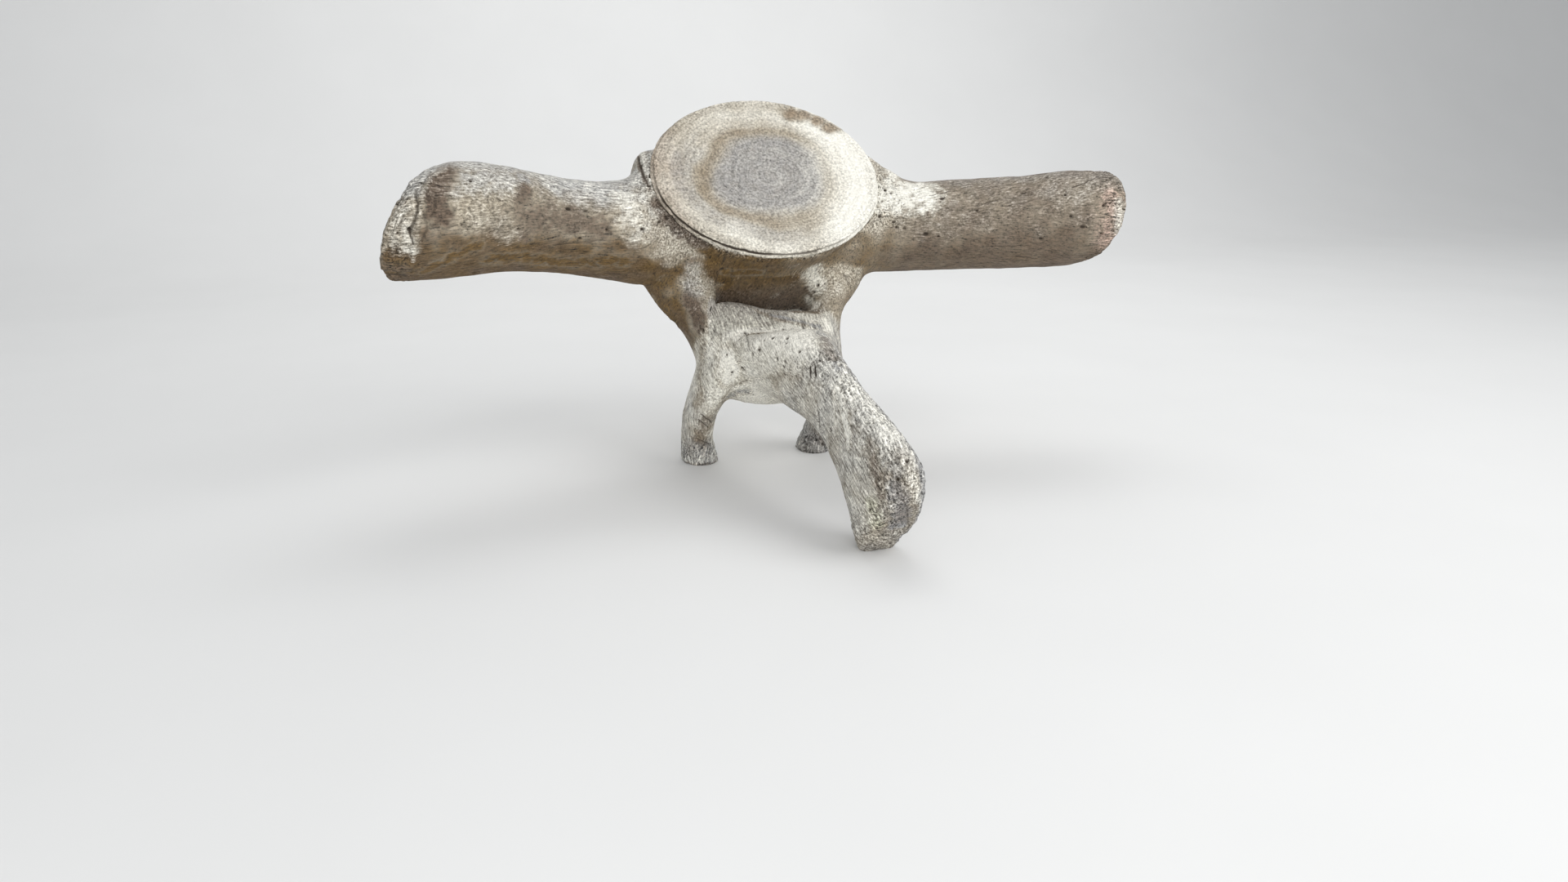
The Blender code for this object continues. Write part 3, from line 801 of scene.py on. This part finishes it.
# %% Spin the end plates
PLATE_RINGS = 84
PLATE_TURN = 400
FACE_SHARE = 0.96  # of the radius; the edge's profile takes up the rest
SPUN_MERGE = 0.00001
DISH = (0.004, 0.80)  # its depth in metres and its radius as a share of the disc's
EDGE_PROFILE = (  # radius as a share of the disc's, and depth behind the face, from rim to back
    (0.964, 0.0004), (0.971, 0.001), (0.975, 0.0019), (0.9752, 0.0029), (0.968, 0.0037),
    (0.968, 0.0046), (0.984, 0.0048), (0.993, 0.0053), (0.9985, 0.0063), (0.9992, 0.0078),
    (0.9965, 0.0093), (0.985, 0.01), (0.8, 0.01), (0.4, 0.01), (0.0, 0.01),
)


def dish(radius):
    """The height of a plate's hollow face, at or below zero."""
    return DISH[0] * (rise(0.0, DISH[1], radius) - 1)


def spun_plate(title):
    """A round plate with its dished face up, a unit in radius, spun from its profile."""
    radii = [FACE_SHARE * ring / PLATE_RINGS for ring in range(PLATE_RINGS)]
    profile = [(radius, 0, dish(radius)) for radius in radii]
    profile += [(radius, 0, -depth) for radius, depth in EDGE_PROFILE]
    mesh = bpy.data.meshes.new(title)
    mesh.from_pydata(profile, [(i, i + 1) for i in range(len(profile) - 1)], [])
    plate = bpy.data.objects.new(title, mesh)
    bpy.context.collection.objects.link(plate)
    only(plate)
    with editing("SELECT"):
        bpy.ops.mesh.spin(steps=PLATE_TURN, angle=math.tau, center=(0, 0, 0), axis=(0, 0, 1))
        bpy.ops.mesh.select_all(action="SELECT")
        bpy.ops.mesh.remove_doubles(threshold=SPUN_MERGE)
        bpy.ops.mesh.normals_make_consistent(inside=False)
    bpy.ops.object.shade_smooth()
    return plate


PLATES = {  # the seed of each plate's noise, its way out, and where its face is along the bone
    "caudal": (200, 1, 0.0),
    "cranial": (300, -1, -BODY_LENGTH),
}
plates = {name: spun_plate("plate_" + name) for name in PLATES}
print({name: len(plate.data.polygons) for name, plate in plates.items()})

# %% [markdown]
# The plates are sculpted with the same noise as the skin. Their faces are nearly smooth, with low
# growth rings, and their rims are ragged. The paints of the tail plate follow the picture: a grey
# middle, a tan ring round it, pale sides with painted light making the right side paler still, and an
# orange-brown stain near the top. The other plate faces away, so it is a guess: the same without the stain.

# %% Shape and paint the plates
RINGS = 26
DEEPENED = 3  # the noise changes faster through a plate than along its face
SUNK = 0.0008  # leaves room for the swellings
STAIN = ((968, 138), (985, 141), (1002, 147), (1016, 156))


def on_disc(pixel):
    """Where the camera sees the disc at a pixel, to the side and towards the back, in radii."""
    way = bone_axes @ np.array(sight_line(pixel))
    start = in_bone(np.array(camera.location))
    place = start - way * start[1] / way[1]
    return np.array([place[0] / DISC_HALF[0], place[2] / DISC_HALF[1]])


for name, (seed, way_out, face_at) in PLATES.items():
    plate = plates[name]
    across, upward, depth = read(plate.data.vertices, "co").T
    radius = np.hypot(across, upward)
    spot = np.column_stack([across * DISC_HALF[0], depth * DEEPENED, upward * DISC_HALF[1]])

    def bumps(size, number):
        return noise(spot / size, seed + number)

    rim = rise(0.86, 0.99, radius)
    on_face = rise(-0.0030, 0.0, depth - dish(radius))
    wobble = bumps(0.05, 0) * 0.06
    rings = noise(np.column_stack([(radius + wobble) * RINGS, across * 1.5, upward * 1.5]), seed + 1)
    lift = 0.0007 * bumps(0.055, 2) + 0.00022 * rings * rise(0.25, 0.7, radius)
    lift += 0.00018 * bumps(0.006, 3) + 0.0007 * rim * bumps(0.007, 4)
    ragged = 0.0016 * rise(0.1, 0.9, bumps(0.012, 5)) * rim
    ragged += 0.0012 * rise(-0.2, 0.8, bumps(0.004, 6)) * rim
    share = 1 - ragged / np.array(DISC_HALF).mean() - 0.004 * rim * (1 + bumps(0.04, 7))
    along = np.minimum(depth + (lift - SUNK) * on_face, 0) * way_out + face_at
    room = in_room(np.column_stack([across * DISC_HALF[0] * share, along, upward * DISC_HALF[1] * share]))
    plate.data.vertices.foreach_set("co", in_box(room).ravel())
    only(plate)
    with editing("SELECT"):
        bpy.ops.mesh.normals_make_consistent(inside=False)

    groove = rise(0.0014, 0.0004, np.abs(depth + 0.0042)) * rise(0.950, 0.962, radius)
    open_part = rise(0.05, 0.35, upward) * rise(1.0, -0.4, across)
    groove *= 0.30 + 0.70 * open_part + 0.25 * bumps(0.03, 12)
    stain = np.zeros(len(radius))
    for place in map(on_disc, STAIN if name == "caudal" else ()):
        near = np.hypot(across - place[0], upward - place[1]) + 0.04 * bumps(0.012, 16)
        stain = np.maximum(stain, rise(0.15, 0.03, near))
    shifted = radius + 0.09 * bumps(0.06, 8)
    bands = noise(np.column_stack([shifted * 9, across * 0.7, upward * 0.7]), seed + 14)
    painted = {
        # painted light: the terms in across make each plate paler on its right side and less pale on its
        # left side
        "bleach": (0.14 + 0.34 * rise(0.50, 0.80, shifted) + 0.42 * rise(0.20, 0.62, across)
                   + 0.12 * bumps(0.03, 9) + 0.16 * bands - 0.20 * rise(-0.3, -0.9, across)),
        "grey": (0.80 * rise(0.60, 0.40, shifted) + 0.12 * bumps(0.008, 15)
                 + 0.50 * rise(0.60, 0.68, shifted) * rise(0.92, 0.78, shifted)
                 * rise(0.1, -0.6, across - 0.6 * upward)),
        "ochre": (0.44 * rise(0.44, 0.54, shifted) * rise(0.70, 0.58, shifted)
                  * rise(0.5, -0.3, across) + 0.12 * bumps(0.014, 13) + 0.50 * stain),
        "brown": (0.35 * rim * rise(0.0, 0.6, bumps(0.010, 10))
                  + 0.10 * rise(0.62, 0.3, shifted)),
        "pink": 0.20 * stain + 0.30 * rise(-0.55, -0.9, across),
        "green": np.zeros(len(radius)),
        "dirt": np.maximum(0.95 * groove, 0.35 * rim * rise(0.3, 0.9, bumps(0.004, 11))),
        "worn": 0.15 + 0.6 * rim,
        "ring": radius,
    }
    painted["bleach"] *= 1 - 0.8 * stain
    for paint_name, share in painted.items():
        keep_on_points(plate.data, paint_name, np.clip(share, 0, 1))
    plate.name = plate.data.name = "plate_" + name
    print(plate.name, len(plate.data.vertices), "points")

# %% [markdown]
# ## The materials
#
# A material is a web of nodes, and its sums are easier to read as Python. A `Wire` is an output socket
# that takes part in sums: each operator adds a Math node. Every other node comes from one method, which
# takes the node's type, its settings and what its inputs get.

# %% Write shader nodes as sums
class Wire:
    """An output socket that can be added, subtracted and multiplied like a number."""

    def __init__(self, finish, socket):
        self.finish = finish
        self.socket = socket

    def math(self, operation, *others):
        values = dict(zip(("Value", "Value_001", "Value_002"), (self, *others)))
        return self.finish.node("ShaderNodeMath", {"operation": operation}, **values)

    __add__ = __radd__ = lambda self, other: self.math("ADD", other)
    __mul__ = __rmul__ = lambda self, other: self.math("MULTIPLY", other)
    __sub__ = lambda self, other: self.math("SUBTRACT", other)
    __rsub__ = lambda self, other: self.math("MULTIPLY_ADD", -1.0, other)

    def rise(self, start, end):
        """0 before the start, 1 after the end, and a smooth rise between them."""
        settings = {"interpolation_type": "SMOOTHSTEP"}
        sockets = {"Value": self, "From Min": start, "From Max": end, "To Min": 0.0, "To Max": 1.0}
        return self.finish.node("ShaderNodeMapRange", settings, **sockets)


class Finish:
    """A new material and a short way to write its nodes."""

    def __init__(self, name, specular):
        self.material = bpy.data.materials.new(name)
        self.material.use_nodes = True
        self.tree = self.material.node_tree
        self.shader = self.tree.nodes["Principled BSDF"]
        self.shader.inputs["Specular IOR Level"].default_value = specular

    def feed(self, socket, value):
        if isinstance(value, Wire):
            self.tree.links.new(value.socket, socket)
        else:
            socket.default_value = value

    def node(self, kind, settings=None, output=0, **values):
        """A new node, with its settings, the values or links of its sockets, and one of its outputs."""
        node = self.tree.nodes.new(kind)
        for name, value in (settings or {}).items():
            setattr(node, name, value)
        for name, value in values.items():
            self.feed(next(socket for socket in node.inputs if socket.identifier == name), value)
        return Wire(self, node.outputs[output])

    def attribute(self, name):
        return self.node("ShaderNodeAttribute", {"attribute_name": name}, output=2)

    def noise(self, place, size, detail=2.0, roughness=0.55):
        """Noise around 0.5 whose swellings are a size across, in metres."""
        values = {"Vector": place, "Scale": 1 / size, "Detail": detail, "Roughness": roughness}
        return self.node("ShaderNodeTexNoise", **values)

    def mix(self, factor, first, second, blend="MIX"):
        settings = {"data_type": "RGBA", "blend_type": blend, "clamp_factor": True}
        colours = {}
        for socket, colour in (("A_Color", first), ("B_Color", second)):
            colours[socket] = colour if isinstance(colour, Wire) else (*colour, 1.0)
        return self.node("ShaderNodeMix", settings, output=2, Factor_Float=factor, **colours)


print("a smooth rise is", rise(0, 1, np.array([0.25, 0.5])), "at a quarter and a half")

# %% [markdown]
# Weathered bone is never one colour. Seen close, it is a crowd of pale and dark flecks, a few
# millimetres across and drawn out along the grain. So a little noise is added to each paint's share
# before it is blended over the paints below it, and then the flecks make the colour darker or lighter,
# more where the bone is worn and less where bleaching and painted light make it pale. Fine pores and
# fibres are too small for the mesh, so they are dark spots and streaks here, and the bump pushes the pores
# in.

# %% Make the bone's finish
COLOURS = {
    "plain": (0.33, 0.285, 0.215),
    "ochre": (0.132, 0.079, 0.025),
    "brown": (0.125, 0.092, 0.066),
    "pink": (0.40, 0.29, 0.24),
    "green": (0.42, 0.42, 0.31),
    "bleach": (0.79, 0.768, 0.69),
    "dirt": (0.045, 0.033, 0.023),
}
FIBRE_WIDTH = 0.0019
FIBRE_LENGTH = 0.014
WAVE = 0.006
WAVE_LENGTH = 0.030
CLOUD_SIZE = 0.020
PORE_SPACING = 0.0034
PORE_DARKNESS = 0.62


def waved_place(finish):
    """The place in the bone, shifted to and fro so that the grain waves."""
    place = finish.node("ShaderNodeTexCoord", output=3)
    wave = finish.node("ShaderNodeTexNoise", output=1, Vector=place, Scale=1 / WAVE_LENGTH, Detail=1.0)
    centred = finish.node("ShaderNodeVectorMath", {"operation": "SUBTRACT"}, Vector=wave,
                          Vector_001=(0.5, 0.5, 0.5))
    shift = finish.node("ShaderNodeVectorMath", {"operation": "SCALE"}, Vector=centred, Scale=WAVE)
    return place, finish.node("ShaderNodeVectorMath", Vector=place, Vector_001=shift)


def limb_fibres(finish, place):
    """Streaks along each limb's own grain, around 0.5."""
    total = None
    for limb in LIMBS:
        way = np.array(GRAIN[limb]) @ bone_axes
        turn = (0, math.pi / 2, 0) if limb == "process" else (math.atan2(-way[1], way[2]), 0, 0)
        squeezed = finish.node("ShaderNodeMapping", {"vector_type": "TEXTURE"}, Vector=place,
                               Rotation=turn, Scale=(FIBRE_WIDTH, FIBRE_WIDTH, FIBRE_LENGTH))
        streaks = finish.noise(squeezed, 1.0, 3.0, 0.6) * finish.attribute(limb)
        total = streaks if total is None else total + streaks
    return total


def ring_fibres(finish, place):
    """Fine rings round a plate's middle, around 0.5."""
    radius = finish.attribute("ring") + finish.noise(place, 0.040) * 0.10
    across = finish.node("ShaderNodeCombineXYZ", X=radius * 60.0, Y=finish.noise(place, 0.030) * 3.0)
    return finish.noise(across, 1.0, 3.0, 0.6)


def bone_finish(name, streaks_of, fleck_size, streak_share, pore_share, spread, shading, depth, grey):
    """Weathered bone, with its own kind of streaks and its own share of each detail.

    The spread is how much the noise breaks up a paint, the shading how much the flecks show, and the
    depth how far the bump goes, in metres.
    """
    finish = Finish(name, specular=0.35)
    place, waved = waved_place(finish)
    streaks = streaks_of(finish, waved)
    worn, dirt, bleach = (finish.attribute(kind) for kind in ("worn", "dirt", "bleach"))
    flecks = finish.noise(place, fleck_size, 4.0, 0.68)
    clouds = finish.noise(place, CLOUD_SIZE, 3.0, 0.6)
    fine = (flecks - 0.5) * 1.7 + (streaks - 0.5) * streak_share
    mottle = fine + (clouds - 0.5) * 0.9
    speck = finish.node("ShaderNodeTexVoronoi", Vector=waved, Scale=1 / PORE_SPACING, Randomness=1.0)
    crowd = (worn * 0.7 + (clouds - 0.5) * 1.6 + 0.16) * pore_share
    pores = (1 - speck.rise(0.10, 0.34)) * crowd.rise(0.0, 0.55)

    colour = COLOURS["plain"]
    for paint_name in PAINTS:
        share = (finish.attribute(paint_name) + mottle * spread).rise(0.02, 0.98)
        share = share * finish.attribute(paint_name).rise(0.0, 0.12)
        colour = finish.mix(share, colour, grey if paint_name == "grey" else COLOURS[paint_name])
    shade = 1 + fine * shading * (0.8 + worn * 0.5) * (1 - bleach * 0.65)
    tone = finish.node("ShaderNodeCombineXYZ", X=shade, Y=shade, Z=shade)
    colour = finish.mix(1.0, colour, tone, "MULTIPLY")
    dark = (dirt + (flecks - 0.5) * 0.5).rise(0.12, 0.85)
    dark = dark * dirt.rise(0.0, 0.1)
    colour = finish.mix(pores * PORE_DARKNESS, colour, COLOURS["dirt"])
    colour = finish.mix(dark, colour, COLOURS["dirt"])
    finish.feed(finish.shader.inputs["Base Color"], colour)
    finish.feed(finish.shader.inputs["Roughness"], 0.80 + (flecks - 0.5) * 0.3 - bleach * 0.10)
    relief = flecks * 0.5 + streaks * streak_share * 0.6 - pores * 0.9
    bump = finish.node("ShaderNodeBump", Strength=1.0, Distance=depth, Height=relief)
    finish.feed(finish.shader.inputs["Normal"], bump)
    return finish.material


bone = bone_finish(
    "weathered bone", limb_fibres, fleck_size=0.0026, streak_share=2.4, pore_share=1.0, spread=0.34,
    shading=1.8, depth=0.0009, grey=(0.308, 0.306, 0.302))
plate_bone = bone_finish(
    "end plate bone", ring_fibres, fleck_size=0.0027, streak_share=0.6, pore_share=0.35, spread=0.11,
    shading=2.3, depth=0.0004, grey=(0.300, 0.290, 0.276))
for piece in pieces.values():
    piece.data.materials.append(bone)
for plate in plates.values():
    plate.data.materials.append(plate_bone)
print({material.name: len(material.node_tree.nodes) for material in (bone, plate_bone)})

# %% [markdown]
# ## The studio
#
# The bone stands on a plain pale floor that curves up behind it, so no horizon shows. The key light
# hangs above, in front and to the right, because that side of the bone is the brightest. Soft lights
# from the front and from above fill in, one more brightens the wall, and the room gives the rest.

# %% Build the stage and hang the lights
FLOOR_SIZE = 16.0
WALL_AT = 3.4
WALL_HEIGHT = 5.0
WALL_CURVE = 1.5
CURVE_STEPS = 24
CLOSE = 0.1
ROOM_COLOUR = (0.95, 0.97, 1.0, 1.0)
ROOM_BRIGHTNESS = 0.50


def select_edges(obj, wanted):
    """Select the edges whose two ends both pass a test."""
    for edge in obj.data.edges:
        edge.select = all(wanted(obj.data.vertices[index].co) for index in edge.vertices)


bpy.ops.mesh.primitive_plane_add(size=FLOOR_SIZE, location=(0, WALL_AT - FLOOR_SIZE / 2, 0))
floor = bpy.context.object
floor.name = floor.data.name = "floor"
bpy.ops.object.transform_apply(location=True)
select_faces(floor, [False])
select_edges(floor, lambda place: place.y > WALL_AT - CLOSE)
with editing():
    bpy.ops.mesh.select_mode(type="EDGE")
    bpy.ops.mesh.extrude_region_move(TRANSFORM_OT_translate={"value": (0, 0, WALL_HEIGHT)})
select_edges(floor, lambda place: abs(place.y - WALL_AT) < CLOSE and abs(place.z) < CLOSE)
with editing():
    bpy.ops.mesh.bevel(offset=WALL_CURVE, segments=CURVE_STEPS)
bpy.ops.object.shade_smooth()
paper = Finish("pale floor", specular=0.2)
grain_of_paper = paper.noise(paper.node("ShaderNodeTexCoord", output=3), 0.30, 2.0)
paper_colour = paper.mix(grain_of_paper, (0.77, 0.77, 0.76), (0.81, 0.81, 0.80))
paper.feed(paper.shader.inputs["Base Color"], paper_colour)
paper.feed(paper.shader.inputs["Roughness"], 0.9)
floor.data.materials.append(paper.material)


def soft_light(name, place, aim, size, power):
    """A square light that looks at a point."""
    turn = (Vector(aim) - Vector(place)).to_track_quat("-Z", "Y").to_euler()
    bpy.ops.object.light_add(type="AREA", location=place, rotation=turn)
    light = bpy.context.object
    light.name = name
    light.data.size = size
    light.data.energy = power


soft_light("key light", (1.3, -1.5, 1.8), (0.05, 0, 0.2), 1.5, 26)
soft_light("front light", (-0.5, -2.3, 0.7), (0, 0, 0.2), 1.4, 26)
soft_light("top light", (0.2, 0.9, 2.3), (0, 0, 0.2), 1.8, 8)
soft_light("backdrop light", (0.8, 1.5, 3.0), (0.8, 3.4, 0.9), 2.4, 36)
world = bpy.data.worlds.new("room")
bpy.context.scene.world = world
world.use_nodes = True
world.node_tree.nodes["Background"].inputs["Color"].default_value = ROOM_COLOUR
world.node_tree.nodes["Background"].inputs["Strength"].default_value = ROOM_BRIGHTNESS
bpy.context.scene.view_settings.view_transform = "Standard"

# %% [markdown]
# Last, every piece takes the place of its plain solid and rides on the bone's one body.

# %% Hand the pieces over
for name, piece in pieces.items():
    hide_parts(name)
    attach(piece, "root")
for name, plate in plates.items():
    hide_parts("epiphysis_" + name)
    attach(plate, "root")
